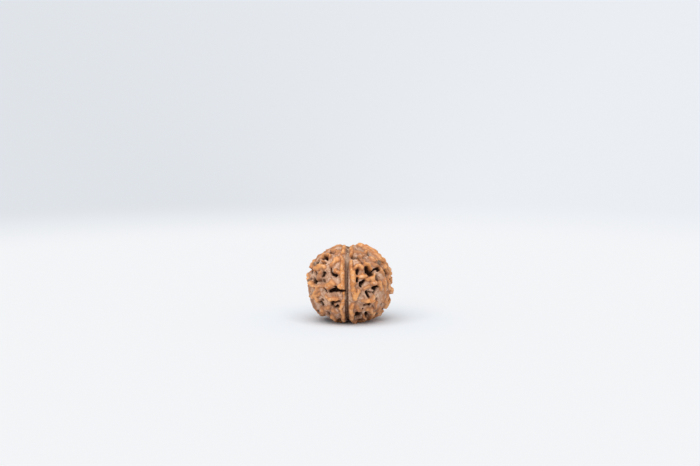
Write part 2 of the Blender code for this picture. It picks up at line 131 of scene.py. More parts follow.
# %% Ridges left of the front groove
LEFT_RIDGES = (
    knob((-20.3, 31), 0.60, 1.05),
    ridge((-20, 31), (-12, 29), 0.48),
    ridge((-22, 51), (-31, 36), 0.65, 0.85),
    knob((-26, 47), 0.65, 0.90),
    ridge((-78, 45), (-69, 53), 0.62, 0.80),
    ridge((-69, 53), (-55, 55.5), 0.58, 0.85),
    ridge((-55, 55.5), (-43, 51), 0.58, 0.95),
    ridge((-58, 42), (-48, 40), 0.50, 0.75),
    ridge((-66, 28), (-56, 32), 0.85, 1.00),
    ridge((-56, 32), (-45, 33), 0.80),
    ridge((-50.5, 24), (-49, 15), 0.60, 0.50),
    ridge((-69, 4), (-58, 2), 0.65, 1.00),
    ridge((-58, 2), (-47, 4), 0.50, 0.75),
    ridge((-47, 4), (-37, 4), 0.50, 0.60),
    ridge((-35, 5), (-27, 10), 0.70, 0.75),
    ridge((-28, 8), (-22, 12), 0.95, 1.10),
    ridge((-49, -1), (-56, -9), 0.80, 0.80),
    ridge((-56, -9), (-51, -20), 0.80, 0.80),
    ridge((-53, -12), (-46, -8), 0.60, 0.75),
    ridge((-56, -10), (-64, -15), 0.60, 0.80),
    ridge((-33, -8), (-25, -11.5), 0.65, 0.70),
    ridge((-24.5, -11.5), (-17, -9), 0.72, 1.00),
    knob((-18, -19.5), 0.42, 0.45),
    ridge((-30, -26), (-36, -29), 0.70, 0.70),
    ridge((-28, -43), (-27, -54), 0.70),
    ridge((-21, -30), (-18, -33), 0.60, 0.65),
    ridge((-45, -34), (-52, -38), 0.80, 0.75),
    knob((-63, -47), 0.90, 0.70),
    ridge((-37, -48), (-36, -57), 0.65, 0.70),
    ridge((-40, 69), (-33, 60), 0.80, 0.55),
    ridge((-70, 63), (-60, 68), 0.70, 0.60),
    knob((-84, 25), 0.90, 1.05),
    ridge((-79, 10), (-69, 4), 0.75, 1.10),
    knob((-80, 34), 0.75, 0.80),
    ridge((-84, 0), (-82, -12), 0.75, 0.50),
    ridge((-72, -22), (-68, -34), 0.75, 0.75),
)

# %% Pits left of the front groove
LEFT_PITS = (
    ridge((-80, 58), (-62, 59), 0.38, 0.60),
    ridge((-62, 59), (-42, 60), 0.38, 0.55),
    ridge((-66, 46), (-60, 49), 0.40, 0.60),
    ridge((-60, 49), (-46, 48), 0.58, 0.90),
    ridge((-75, 40), (-71, 37), 0.55, 0.85),
    ridge((-49, 38), (-44, 39.5), 0.38, 0.60),
    ridge((-28.5, 31), (-27.5, 28.5), 0.28, 0.95),
    ridge((-27.5, 28.5), (-24, 25.5), 0.32, 1.10),
    ridge((-24, 25.5), (-18, 24), 0.38, 1.15),
    ridge((-18, 25), (-16.5, 26), 0.32, 0.90),
    ridge((-43.5, 24.5), (-42.5, 18), 0.32, 1.10),
    ridge((-39.5, 24), (-38.5, 18.5), 0.30, 1.00),
    ridge((-42.5, 25.5), (-40, 25), 0.28, 0.95),
    knob((-41, 21), 0.50, 0.50),
    ridge((-61, 23), (-58, 20), 0.45, 0.85),
    ridge((-60, 10.5), (-54, 10), 0.78, 1.60),
    ridge((-47, 12), (-36, 13), 0.55, 0.50),
    knob((-76, 21), 0.70, 1.05),
    ridge((-76, 19), (-94, 19), 0.55, 1.20),
    ridge((-25.5, 0.5), (-19.5, 2.5), 0.50, 1.30),
    ridge((-19.5, 2.5), (-15, 5.5), 0.55, 1.40),
    ridge((-15.5, 5), (-11, 3.0), 0.42, 1.10),
    ridge((-11, 3.0), (-5, 2.5), 0.36, 0.70),
    knob((-16.5, 8), 0.45, 1.00),
    ridge((-32.5, 3), (-32, -0.5), 0.48, 1.25),
    ridge((-45.5, -21), (-41.5, -25), 0.60, 0.75),
    knob((-41, -17), 0.50, 0.55),
    ridge((-24, -18), (-19, -15), 0.45, 1.10),
    ridge((-19, -15), (-13.5, -12.5), 0.40, 1.10),
    ridge((-22.5, -20), (-18, -23), 0.50, 1.15),
    ridge((-16, -23.5), (-13, -20), 0.42, 1.00),
    ridge((-34, -37), (-34, -43), 0.55, 0.80),
    knob((-13.5, -38), 0.50, 0.45),
    ridge((-23, -51), (-13, -58), 0.80, 1.35),
    ridge((-53, -46), (-51, -50), 0.50, 0.90),
)

# %% Ridges right of the front groove
RIGHT_RIDGES = (
    ridge((57, 59), (67, 59), 0.65, 0.85),
    ridge((54, 48), (55, 44.5), 0.70, 1.00),
    ridge((59, 48.5), (70, 46.5), 0.50, 0.65),
    ridge((67, 43), (76, 34.5), 0.62, 1.00),
    ridge((82, 45), (83, 39), 0.70, 0.75),
    knob((84, 27), 0.75, 0.75),
    ridge((24, 49.5), (22.5, 43), 0.52, 0.60),
    ridge((34.5, 48), (32, 42), 0.50, 0.60),
    ridge((11.5, 35), (14.5, 38), 0.52, 0.85),
    ridge((14.5, 38), (19.5, 38), 0.50, 0.75),
    ridge((19.5, 38), (22, 34.8), 0.58, 0.90),
    ridge((29.5, 38.5), (34, 36), 0.75, 1.15),
    ridge((34, 36), (37, 32.5), 0.55, 0.85),
    ridge((14, 22), (20, 23.5), 0.55, 0.95),
    ridge((20, 23.5), (26, 22), 0.60, 1.00),
    ridge((22, 23), (21.5, 27.5), 0.40, 0.80),
    ridge((39, 24), (36, 18), 0.55, 1.00),
    ridge((36, 18), (28, 17), 0.60, 0.85),
    ridge((36, 18), (41, 11), 0.60, 0.85),
    ridge((41, 11), (51, 8), 0.70, 0.90),
    ridge((37, 12), (43.5, 9.5), 0.60, 0.85),
    ridge((49, 8), (49.5, -1), 0.70, 0.85),
    ridge((50, 38), (58, 30), 0.85, 0.55),
    ridge((60, 27), (63, 17), 0.85, 0.60),
    ridge((63, 16), (59, 6), 0.60, 0.85),
    ridge((60, 4), (60, -9), 0.60, 0.70),
    ridge((60, -12), (58, -20), 0.70, 0.60),
    ridge((19, -11.5), (28, -15), 0.50, 0.75),
    ridge((28, -15), (35, -15.5), 0.75, 1.00),
    ridge((35, -14), (36.5, -8.5), 0.50, 0.75),
    ridge((22, 5), (31, 7), 0.60, 0.65),
    ridge((15, -22), (17, -28), 0.65, 0.65),
    ridge((44, -21), (46.5, -28), 0.55, 0.70),
    ridge((29, -41), (38, -54), 0.45, 0.80),
    ridge((30, -29), (36, -31), 0.60, 0.70),
    ridge((38, -30), (41, -35), 0.65, 1.00),
    ridge((47, -38), (58, -55), 0.60, 0.90),
    ridge((58, -32), (64, -42), 0.65, 0.80),
    ridge((77, -46), (80, -36), 1.10, 1.10),
    ridge((84, -22), (82, -31), 1.20, 1.25),
    ridge((85, -10.5), (85, -14), 1.00, 1.35),
    ridge((70, 12), (71, -4), 0.65, 0.90),
    ridge((74, 30), (75, 20), 0.60, 0.75),
    ridge((70, -10), (70, -22), 0.60, 0.85),
    ridge((28, 66), (44, 63), 0.85, 0.50),
    ridge((30, 53), (40, 56), 0.60, 0.60),
)

# %% Pits right of the front groove
RIGHT_PITS = (
    ridge((60, 53.5), (64, 51), 0.50, 0.95),
    ridge((56, 50.5), (62, 49.5), 0.34, 0.60),
    ridge((66, 40), (74, 33), 0.32, 0.55),
    knob((77, 30), 0.60, 0.95),
    ridge((13, 53), (24, 50), 0.65, 0.55),
    ridge((24, 48), (24, 41), 0.42, 0.50),
    knob((35, 47), 0.45, 0.50),
    ridge((14.5, 32), (13, 27.5), 0.46, 0.80),
    ridge((27.5, 33), (30.5, 28), 0.50, 1.05),
    ridge((30.5, 28), (33.5, 25), 0.68, 1.25),
    ridge((36, 27), (40, 30), 0.36, 0.90),
    ridge((40, 30), (49, 29.5), 0.32, 0.85),
    knob((52, 27.8), 0.66, 1.55),
    ridge((12.5, 20.5), (12.5, 17), 0.36, 1.00),
    ridge((18, 15), (22.5, 15.5), 0.45, 1.30),
    ridge((17.5, 14.5), (17.5, 10.5), 0.36, 1.10),
    knob((21, 13), 0.48, 0.80),
    ridge((45.5, 18), (45, 13.5), 0.70, 0.65),
    ridge((69, 25), (69, 17), 0.50, 0.70),
    ridge((74, 7), (90, 7.5), 0.50, 1.00),
    ridge((37, 4.5), (42, 3.5), 0.55, 1.40),
    ridge((41.5, 3), (37.5, -3.5), 0.45, 1.10),
    ridge((34, -1.5), (28, -0.5), 0.30, 0.60),
    ridge((25.5, -0.5), (28.5, -8.5), 0.45, 1.20),
    ridge((28, -19.5), (33, -21.5), 0.45, 1.00),
    knob((25, -20.5), 0.42, 0.80),
    knob((21.3, -26), 0.30, 0.50),
    knob((42, -16), 0.45, 0.70),
    ridge((16.5, -33.5), (16.5, -41), 0.78, 2.00),
    ridge((31.5, -35.5), (35.5, -43), 0.50, 1.45),
    ridge((78, -18), (94, -17), 0.50, 1.20),
    ridge((72, -34.5), (86, -34), 0.35, 0.55),
)

# %% Along the outline
# These places are the turned bead's own, so they are neither spread nor nodded later.
OUTLINE_RIDGES = (
    ridge((91, 11), (93, 27), 1.25, 0.90),
    knob((92, 19.8), 0.85, 1.20),
    knob((91, 12.0), 0.75, 1.05),
    ridge((93, 31), (96, 45), 1.25, 0.85),
    knob((94.5, 35.4), 0.85, 1.05),
    knob((96, 43.5), 0.80, 1.00),
    ridge((98, 50), (106, 63), 1.00, 1.25),
    ridge((106, 63), (128, 73), 1.00, 1.15),
    knob((-125, 75), 0.95, 0.80),
    ridge((-98, 40), (-103, 55), 1.20, 0.45),
    knob((-92, 10.5), 0.75, 1.10),
    ridge((-93, -6), (-88, -30), 1.20, 0.40),
    ridge((-84, -33), (-80, -43), 1.00, 0.55),
)
OUTLINE_PITS = (
    ridge((180, 84), (180, 70), 0.80, 0.55),
    ridge((-70, -54), (-92, -52), 0.90, 1.10),
    ridge((-91, -62), (-103, -71), 0.80, 1.15),
    ridge((-45, -56), (-59, -62), 0.80, 1.00),
)

# %% [markdown]
# ## From the list to the ball
# The listed pattern is spread a little and nodded forward, as the bead in the photograph sits.
# Places turn into unit vectors, called ways here, because sums on vectors have no trouble at the
# poles, where longitudes crowd together.

# %% Places and ways
# Longitudes, latitudes and the nod are in degrees, the radius in millimetres.
ACROSS_RADIUS = 9.25
GROOVE_LONGITUDES = (-2.0, 65.0, 140.0, 215.0, 286.0)
NOD = 4.5
SEEN_LATITUDE = 13.0
RIDGE_SPREAD = 1.02
PIT_SPREAD = 1.065


def direction(longitude, latitude):
    """Unit vector toward a place on the ball."""
    east, up = math.radians(longitude), math.radians(latitude)
    return np.array(
        (math.cos(up) * math.sin(east), -math.cos(up) * math.cos(east), math.sin(up))
    )


def place_of(way):
    """Longitude and latitude, in degrees, of a unit vector."""
    return math.degrees(math.atan2(way[0], -way[1])), math.degrees(math.asin(way[2]))


def settled(place, spread):
    """A place of the listed pattern, spread and nodded into the bead's own."""
    longitude, latitude = place
    latitude = SEEN_LATITUDE + (latitude - SEEN_LATITUDE) * spread
    way, nod = direction(longitude * spread, latitude), math.radians(NOD)
    forward = way[1] * math.cos(nod) - way[2] * math.sin(nod)
    up = way[2] * math.cos(nod) + way[1] * math.sin(nod)
    return place_of(np.array((way[0], forward, up)))


def settled_bars(bars, spread):
    return [
        bar._replace(start=settled(bar.start, spread), end=settled(bar.end, spread)) for bar in bars
    ]


def distance_to(ways, bar):
    """Distance in millimetres from each unit vector to a bar's middle line, on the ball."""
    start, end = direction(*bar.start), direction(*bar.end)
    along = end - start
    length_squared = max(float(along @ along), 1e-12)
    share = np.clip((ways - start) @ along / length_squared, 0.0, 1.0)
    nearest = start + share[:, None] * along
    nearest /= np.linalg.norm(nearest, axis=1)[:, None]
    return np.linalg.norm(ways - nearest, axis=1) * ACROSS_RADIUS


print("bars placed by hand:", len(FRONT_LIPS + LEFT_RIDGES + LEFT_PITS + RIGHT_RIDGES + RIGHT_PITS))

# %% [markdown]
# ## The hidden sides
# The photograph doesn't show the back, the top and the underside. A real bead is the same net all
# round, so a seeded rule grows more bars of the same sizes there: broken lips beside each groove,
# knobs no closer than a set gap, most of them joined to a neighbour, and pits in the widest gaps.

# %% Lips of the hidden grooves
# Pairs are the least and the most of a random draw, in millimetres or degrees.
SEED = 108
LIP_OFFSET = 1.25
LIP_STRAY = (0.92, 1.15)
LIP_STEEPEST = 0.6
LIP_SOUTH, LIP_LAST_START, LIP_NORTH = -76.0, 72.0, 76.0
LIP_LENGTHS = (11.0, 24.0)
LIP_BREAKS = (3.0, 5.0, 9.0)
LIP_WIDTHS = (0.55, 0.75)
LIP_RISES = (0.8, 1.0)
CALM_FROM = 52.0
CALM_OVER = 30.0
CALM_ABOVE = 0.65
HAND_WEST, HAND_EAST, HAND_SOUTH, HAND_NORTH = -92.0, 76.0, -62.0, 72.0


def calm(latitude):
    """Share of their height that ridges keep at a latitude: they sink toward the upper pole."""
    near_pole = min(max((latitude - CALM_FROM) / CALM_OVER, 0.0), 1.0)
    return 1.0 - CALM_ABOVE * near_pole


def in_hand_region(longitude, latitude):
    turned = (longitude - HAND_WEST) % 360.0
    return turned < HAND_EAST - HAND_WEST and HAND_SOUTH < latitude < HAND_NORTH


def offset_from_groove(way):
    """Distance in millimetres from a unit vector to the nearest groove's plane."""
    found = []
    for longitude in GROOVE_LONGITUDES:
        if way @ direction(longitude, 0.0) > 0.0:
            found.append(abs(way @ direction(longitude + 90.0, 0.0)) * ACROSS_RADIUS)
    return min(found, default=ACROSS_RADIUS)


def hidden_lips(rng):
    """Broken lips along both sides of each hidden groove, and of every groove near the poles."""
    bars = []
    for groove in GROOVE_LONGITUDES:
        for side in (-1, 1):
            latitude = LIP_SOUTH
            while latitude < LIP_LAST_START:
                top = min(latitude + rng.uniform(*LIP_LENGTHS), LIP_NORTH)
                ends = []
                for at in (latitude, top):
                    offset = LIP_OFFSET * rng.uniform(*LIP_STRAY)
                    sine = offset / ACROSS_RADIUS / math.cos(math.radians(at))
                    east = math.degrees(math.asin(min(sine, LIP_STEEPEST)))
                    ends.append((groove + side * east, at))
                middle = ((ends[0][0] + ends[1][0]) / 2.0, (latitude + top) / 2.0)
                rise = rng.uniform(*LIP_RISES) * calm(middle[1])
                if not in_hand_region(*middle):
                    bars.append(Bar(*ends, rng.uniform(*LIP_WIDTHS), rise))
                latitude = top + rng.choice(LIP_BREAKS)
    return bars


# %% Knobs of the hidden sides
# A limit is the sine of the highest latitude, so that draws are even over the ball.
KNOB_TRIES, KNOB_LIMIT = 9000, 0.97
KNOB_GAP, KNOB_REACH = 1.75, 3.0
KNOB_FROM_LIP, KNOB_FROM_BAR = 0.75, 1.2
KNOB_WIDTHS = (0.5, 0.8)
KNOB_RISES = (0.75, 1.05)
LONE_KNOB_WIDER = 0.1
NEIGHBOURS = 3
JOIN_CHANCE = 0.72


def drawn_way(rng, limit):
    longitude = rng.uniform(-180.0, 180.0)
    return direction(longitude, math.degrees(math.asin(rng.uniform(-limit, limit))))


def wild_ridges(rng, taken):
    """Knobs no closer than a set gap on the hidden sides, most joined to a free neighbour."""
    centres = []
    for _ in range(KNOB_TRIES):
        way = drawn_way(rng, KNOB_LIMIT)
        clear = all(np.linalg.norm(way - other) * ACROSS_RADIUS > KNOB_GAP for other in centres)
        by_groove = offset_from_groove(way) < LIP_OFFSET + KNOB_FROM_LIP
        if not clear or in_hand_region(*place_of(way)) or by_groove:
            continue
        if min(distance_to(way[None, :], bar)[0] for bar in taken) < KNOB_FROM_BAR:
            continue
        centres.append(way)
    bars, pairs = [], set()
    for i, way in enumerate(centres):
        gaps = [np.linalg.norm(way - centre) for centre in centres]
        nearest = sorted(range(len(centres)), key=lambda j: gaps[j])[1 : NEIGHBOURS + 1]
        width = rng.uniform(*KNOB_WIDTHS)
        rise = rng.uniform(*KNOB_RISES) * calm(place_of(way)[1])
        free = [j for j in nearest if gaps[j] * ACROSS_RADIUS < KNOB_REACH and (j, i) not in pairs]
        if free and rng.random() < JOIN_CHANCE:
            pairs.add((i, free[0]))
            bars.append(Bar(place_of(way), place_of(centres[free[0]]), width, rise))
        else:
            bars.append(Bar(place_of(way), place_of(way), width + LONE_KNOB_WIDER, rise))
    return bars


# %% Pits of the hidden sides
PIT_TRIES, PIT_LIMIT = 2600, 0.96
PIT_GAP = 1.7
PIT_FROM_LIP, PIT_LEAST_ROOM = 0.3, 0.05
PIT_STRETCHES = (0.0, 0.0, 4.0, 7.0)
PIT_WIDTH, PIT_WIDER_WITH_ROOM, PIT_WIDEST = 0.42, 0.6, 0.75
PIT_DEPTHS = (0.8, 1.4)


def wild_pits(rng, ridges):
    """Pits in the widest gaps that the ridges of the hidden sides leave."""
    spots = []
    for _ in range(PIT_TRIES):
        way = drawn_way(rng, PIT_LIMIT)
        if in_hand_region(*place_of(way)) or offset_from_groove(way) < LIP_OFFSET + PIT_FROM_LIP:
            continue
        room = min(distance_to(way[None, :], bar)[0] - bar.width for bar in ridges)
        if room > PIT_LEAST_ROOM:
            spots.append((room, way))
    spots.sort(key=lambda spot: -spot[0])
    pits = []
    for room, way in spots:
        longitude, latitude = place_of(way)
        if any(distance_to(way[None, :], pit)[0] < PIT_GAP for pit in pits):
            continue
        stretch = rng.choice(PIT_STRETCHES)
        turn = rng.uniform(0.0, math.tau)
        end = (longitude + stretch * math.cos(turn), latitude + stretch * math.sin(turn))
        width = min(PIT_WIDTH + PIT_WIDER_WITH_ROOM * room, PIT_WIDEST)
        pits.append(Bar((longitude, latitude), end, width, rng.uniform(*PIT_DEPTHS)))
    return pits


# %% Draw the hidden sides
rng = random.Random(SEED)
ridge_bars = settled_bars(FRONT_LIPS + LEFT_RIDGES + RIGHT_RIDGES, RIDGE_SPREAD)
ridge_bars += list(OUTLINE_RIDGES) + hidden_lips(rng)
ridge_bars += wild_ridges(rng, ridge_bars)
pit_bars = settled_bars(LEFT_PITS + RIGHT_PITS, PIT_SPREAD) + list(OUTLINE_PITS)
pit_bars += wild_pits(rng, ridge_bars)
print("ridges and knobs:", len(ridge_bars), "pits:", len(pit_bars))

# %% [markdown]
# ## Guides for Geometry Nodes
# A node tree can't read a Python list, but it can read attributes of a mesh. Each kind of bar
# becomes a small mesh of loose points, one for each bar, that carries the bar's ends and sizes. The
# five grooves are points too: each carries the two directions that span its plane.

# %% Guide meshes
def guide_object(name, columns):
    """A mesh of loose points with one attribute for each column of numbers or vectors."""
    count = len(next(iter(columns.values())))
    mesh = bpy.data.meshes.new(name)
    mesh.vertices.add(count)
    for column, values in columns.items():
        table = np.array(values, dtype=float)
        kind, field = ("FLOAT_VECTOR", "vector") if table.ndim == 2 else ("FLOAT", "value")
        mesh.attributes.new(column, kind, "POINT").data.foreach_set(field, table.ravel())
    guide = bpy.data.objects.new(name, mesh)
    bpy.context.scene.collection.objects.link(guide)
    return guide


def bar_columns(bars):
    return {
        "start": [direction(*bar.start) for bar in bars],
        "end": [direction(*bar.end) for bar in bars],
        "half_width": [bar.width for bar in bars],
        "rise": [bar.rise for bar in bars],
    }


ridge_guide = guide_object("ridge_guide", bar_columns(ridge_bars))
pit_guide = guide_object("pit_guide", bar_columns(pit_bars))
groove_guide = guide_object(
    "groove_guide",
    {
        "outward": [direction(longitude, 0.0) for longitude in GROOVE_LONGITUDES],
        "sideways": [direction(longitude + 90.0, 0.0) for longitude in GROOVE_LONGITUDES],
    },
)

# %% [markdown]
# ## Small helpers for wiring nodes
# A formula is easier to read as sums than as boxes and wires. Each helper adds one node and gives
# back its output, so a whole formula reads almost as it would in Python.

# %% Wiring helpers
def add_node(tree, kind, **settings):
    made = tree.nodes.new(kind)
    for name, value in settings.items():
        setattr(made, name, value)
    return made


def feed(tree, socket, value):
    """Wire a socket to an output, or type a plain value into it."""
    if isinstance(value, bpy.types.NodeSocket):
        tree.links.new(value, socket)
    else:
        socket.default_value = value


def wired(tree, made, *values, **named):
    """Feed a node's sockets, in order or by name with _ for a space, and give back its outputs."""
    for socket, value in zip(made.inputs, values):
        feed(tree, socket, value)
    for label, value in named.items():
        feed(tree, made.inputs[label.replace("_", " ")], value)
    return made.outputs


def number(tree, operation, *values, clamp=False):
    made = add_node(tree, "ShaderNodeMath", operation=operation, use_clamp=clamp)
    return wired(tree, made, *values)[0]


def vector(tree, operation, *values):
    outputs = wired(tree, add_node(tree, "ShaderNodeVectorMath", operation=operation), *values)
    return outputs["Value" if operation in ("DOT_PRODUCT", "LENGTH", "DISTANCE") else "Vector"]


def scaled(tree, way, factor):
    made = add_node(tree, "ShaderNodeVectorMath", operation="SCALE")
    return wired(tree, made, Vector=way, Scale=factor)["Vector"]


def parts_of(tree, way):
    return list(wired(tree, add_node(tree, "ShaderNodeSeparateXYZ"), way))


def joined(tree, *values):
    return wired(tree, add_node(tree, "ShaderNodeCombineXYZ"), *values)[0]


# %% Attribute and group helpers
def read(tree, name, kind="FLOAT"):
    made = add_node(tree, "GeometryNodeInputNamedAttribute", data_type=kind)
    return wired(tree, made, Name=name)["Attribute"]


def store(tree, geometry, name, value, kind="FLOAT"):
    made = add_node(tree, "GeometryNodeStoreNamedAttribute", data_type=kind, domain="POINT")
    return wired(tree, made, Geometry=geometry, Name=name, Value=value)["Geometry"]


def sampled(tree, geometry, name, index, kind="FLOAT"):
    made = add_node(tree, "GeometryNodeSampleIndex", data_type=kind, domain="POINT")
    return wired(tree, made, Geometry=geometry, Value=read(tree, name, kind), Index=index)["Value"]


def new_group(name, inputs):
    """A node group that takes the named inputs and gives back a geometry."""
    tree = bpy.data.node_groups.new(name, "GeometryNodeTree")
    for label, kind in inputs:
        tree.interface.new_socket(label, in_out="INPUT", socket_type="NodeSocket" + kind)
    tree.interface.new_socket("Geometry", in_out="OUTPUT", socket_type="NodeSocketGeometry")
    return tree, add_node(tree, "NodeGroupInput").outputs, add_node(tree, "NodeGroupOutput").inputs


def call_group(tree, group, **values):
    return wired(tree, add_node(tree, "GeometryNodeGroup", node_tree=group), **values)["Geometry"]


# %% [markdown]
# ## One rule for ridges and pits
# A Repeat Zone visits the guide's points one after the other. For each it measures how far every
# point of the ball is from the bar, makes a dome of that, and blends it into what stood there before
# with Smooth Maximum. That blend is what makes neighbouring ridges run into each other like wax,
# where a plain maximum would leave a crease.

# %% Group: bars
bars_group, taken, given = new_group(
    "Raise bars",
    (
        ("Geometry", "Geometry"),
        ("Guides", "Geometry"),
        ("Name", "String"),
        ("Radius", "Float"),
        ("Dome", "Float"),
        ("Skirt", "Float"),
        ("Fuse", "Float"),
    ),
)


def repeat_zone(tree, geometry, count, body):
    """Send a geometry count times through body(geometry, index)."""
    first = add_node(tree, "GeometryNodeRepeatInput")
    last = add_node(tree, "GeometryNodeRepeatOutput")
    first.pair_with_output(last)
    turn = wired(tree, first, Iterations=count, Geometry=geometry)
    return wired(tree, last, Geometry=body(turn["Geometry"], turn["Iteration"]))["Geometry"]


def point_count(tree, geometry):
    made = add_node(tree, "GeometryNodeAttributeDomainSize", component="MESH")
    return wired(tree, made, Geometry=geometry)["Point Count"]


def dome_level(tree, distance, width, rise, dome, skirt):
    """Rise along the middle of a bar, 0 at its edge, and falling steadily outside."""
    share = number(tree, "DIVIDE", distance, width)
    inside = number(tree, "SUBTRACT", 1.0, number(tree, "MULTIPLY", share, share), clamp=True)
    top = number(tree, "MULTIPLY", rise, number(tree, "POWER", inside, dome))
    outside = number(tree, "MINIMUM", number(tree, "SUBTRACT", width, distance), 0.0)
    return number(tree, "MULTIPLY_ADD", skirt, outside, top)


def raise_one_bar(geometry, index):
    tree, guides, name = bars_group, taken["Guides"], taken["Name"]
    way = read(tree, "wavered", "FLOAT_VECTOR")
    start = sampled(tree, guides, "start", index, "FLOAT_VECTOR")
    end = sampled(tree, guides, "end", index, "FLOAT_VECTOR")
    along = vector(tree, "SUBTRACT", end, start)
    length_squared = number(tree, "MAXIMUM", vector(tree, "DOT_PRODUCT", along, along), 1e-9)
    reach = vector(tree, "DOT_PRODUCT", vector(tree, "SUBTRACT", way, start), along)
    share = number(tree, "DIVIDE", reach, length_squared, clamp=True)
    nearest = vector(tree, "NORMALIZE", vector(tree, "ADD", start, scaled(tree, along, share)))
    distance = number(tree, "MULTIPLY", vector(tree, "DISTANCE", way, nearest), taken["Radius"])
    width = sampled(tree, guides, "half_width", index)
    rise = sampled(tree, guides, "rise", index)
    level = dome_level(tree, distance, width, rise, taken["Dome"], taken["Skirt"])
    blended = number(tree, "SMOOTH_MAX", read(tree, name), level, taken["Fuse"])
    return store(tree, geometry, name, blended)


flat = store(bars_group, taken["Geometry"], taken["Name"], 0.0)
bar_count = point_count(bars_group, taken["Guides"])
feed(bars_group, given["Geometry"], repeat_zone(bars_group, flat, bar_count, raise_one_bar))

# %% [markdown]
# ## The grooves
# The fruit splits along five seams, and each seam is a trench in a plane through the axis. So a
# groove needs no bar: the distance from its plane is enough, with the far half of the plane shut off.

# %% Group: grooves
grooves_group, taken, given = new_group(
    "Sink grooves",
    (
        ("Geometry", "Geometry"),
        ("Guides", "Geometry"),
        ("Radius", "Float"),
        ("Half width", "Float"),
        ("Depth", "Float"),
        ("Seam shift", "Float"),
        ("Seam half width", "Float"),
        ("Dome", "Float"),
        ("Skirt", "Float"),
        ("Fuse", "Float"),
    ),
)


def sink_one_groove(geometry, index):
    tree, guides = grooves_group, taken["Guides"]
    way = read(tree, "way", "FLOAT_VECTOR")
    outward = sampled(tree, guides, "outward", index, "FLOAT_VECTOR")
    sideways = sampled(tree, guides, "sideways", index, "FLOAT_VECTOR")
    offset = number(tree, "MULTIPLY", vector(tree, "DOT_PRODUCT", way, sideways), taken["Radius"])
    ahead = number(tree, "MULTIPLY", vector(tree, "DOT_PRODUCT", way, outward), taken["Radius"])
    behind = number(tree, "MINIMUM", ahead, 0.0)
    distance = vector(tree, "LENGTH", joined(tree, offset, behind, 0.0))
    level = dome_level(tree, distance, taken["Half width"], taken["Depth"], taken["Dome"], taken["Skirt"])
    blended = number(tree, "SMOOTH_MAX", read(tree, "groove"), level, taken["Fuse"])
    geometry = store(tree, geometry, "groove", blended)
    from_seam = number(tree, "ABSOLUTE", number(tree, "SUBTRACT", offset, taken["Seam shift"]))
    from_seam = number(tree, "SUBTRACT", number(tree, "DIVIDE", from_seam, taken["Seam half width"]), behind)
    crack = number(tree, "SUBTRACT", 1.0, from_seam, clamp=True)
    return store(tree, geometry, "seam", number(tree, "MAXIMUM", read(tree, "seam"), crack))


far_below = number(grooves_group, "MULTIPLY", taken["Radius"], -1.0)
flat = store(grooves_group, taken["Geometry"], "groove", far_below)
flat = store(grooves_group, flat, "seam", 0.0)
groove_count = point_count(grooves_group, taken["Guides"])
feed(grooves_group, given["Geometry"], repeat_zone(grooves_group, flat, groove_count, sink_one_groove))

# %% [markdown]
# ## Waver and lumps
# Nothing on a fruit stone is straight. Slow sine waves shift the pattern a little before the bars
# are measured, and more waves swell the surface unevenly. Noise would do as well, but sine waves
# can be repeated exactly in the CAD model.

# %% Waves
WAVER = (
    (0.018, 9.0, (0.3, 1.9, 4.1)),
    (0.014, 23.0, (2.2, 5.0, 0.7)),
    (0.006, 49.0, (1.1, 3.3, 5.4)),
)
LUMPS = ((0.12, 17.0, (0.9, 4.4, 2.0)), (0.09, 37.0, (5.1, 0.2, 3.6)))


def turned(tree, way, turn):
    """The same three numbers, moved on by one or two places."""
    values = parts_of(tree, way)
    return joined(tree, *(values[(place - turn) % 3] for place in range(3)))


def wavered_way(tree, way):
    shifted = way
    for turn, (size, rate, phases) in enumerate(WAVER, start=1):
        angle = vector(tree, "MULTIPLY_ADD", turned(tree, way, turn), (rate,) * 3, phases)
        shifted = vector(tree, "ADD", shifted, scaled(tree, vector(tree, "SINE", angle), size))
    return vector(tree, "NORMALIZE", shifted)


def lump_height(tree, way):
    total = 0.0
    for turn, (size, rate, phases) in enumerate(LUMPS, start=1):
        swell = vector(tree, "SINE", vector(tree, "MULTIPLY_ADD", way, (rate,) * 3, phases))
        cross = vector(tree, "COSINE", scaled(tree, turned(tree, way, turn), rate))
        east, north, up = parts_of(tree, vector(tree, "ADD", swell, cross))
        product = number(tree, "MULTIPLY", number(tree, "MULTIPLY", east, north), up)
        total = number(tree, "MULTIPLY_ADD", product, size / 2.0, total)
    return total


# %% [markdown]
# ## The whole bead as one tree
# The ball starts as a cube of many small faces, blown up evenly. A UV sphere would crowd its faces
# at the poles, and an icosphere comes only in a few sizes. Then the tree stores the pattern's
# levels as attributes, lifts every point by them, bores the thread hole, flattens the foot, and
# fits the result to the CAD model's box. The material reads the same attributes later.

